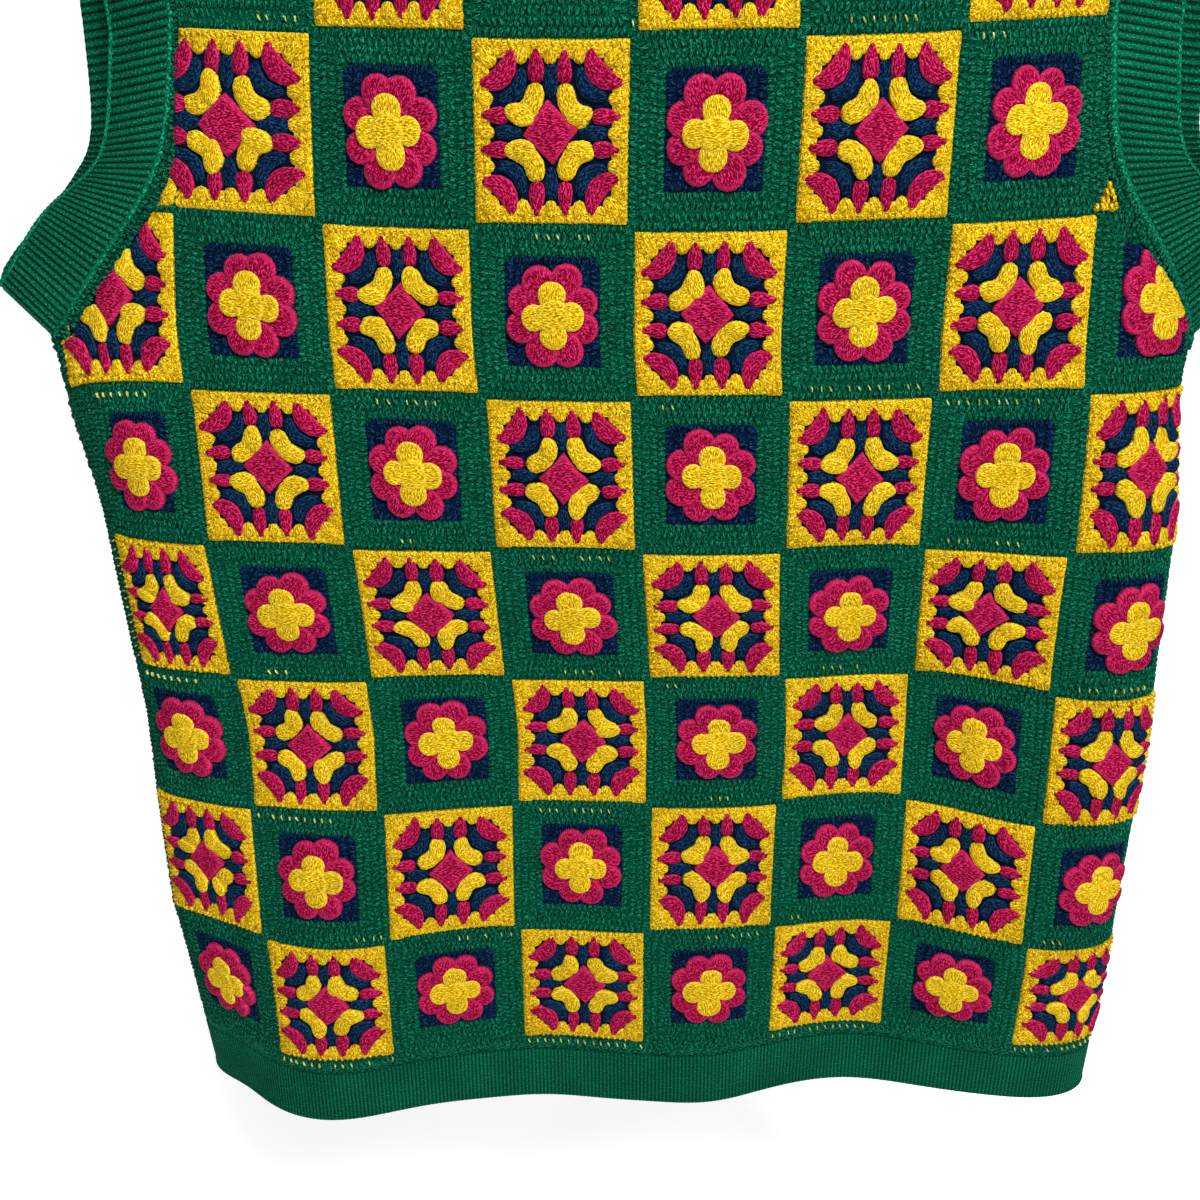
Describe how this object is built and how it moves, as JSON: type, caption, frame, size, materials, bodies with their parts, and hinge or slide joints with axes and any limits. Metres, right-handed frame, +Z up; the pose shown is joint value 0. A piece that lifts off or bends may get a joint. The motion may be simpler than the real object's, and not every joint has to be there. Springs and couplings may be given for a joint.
{
  "type": "crochet vest",
  "caption": "Sleeveless crochet vest of sewn squares with raised flowers, ribbed hem, armholes and neck, hollow as if filled out, held up at the shoulders.",
  "frame": {"origin": "midway between the two shoulders, at the level of the neck points, where a wearer's shoulders hold the vest up", "axes": "+Z up, the front faces -Y, +X to the viewer's right as seen from the front"},
  "size_m": [0.5609, 0.1117, 0.7116],
  "materials": {
    "crochet_squares": "matt woollen crochet, squares in yellow, pink, navy and green",
    "green_rib": "matt green ribbed knit"
  },
  "bodies": {
    "root": {"front_panel": "crochet_squares", "back_panel": "crochet_squares", "hem_rib_front": "green_rib", "hem_rib_back": "green_rib", "armhole_rib_left": "green_rib", "armhole_rib_right": "green_rib", "neck_rib": "green_rib"}
  },
  "joints": []
}
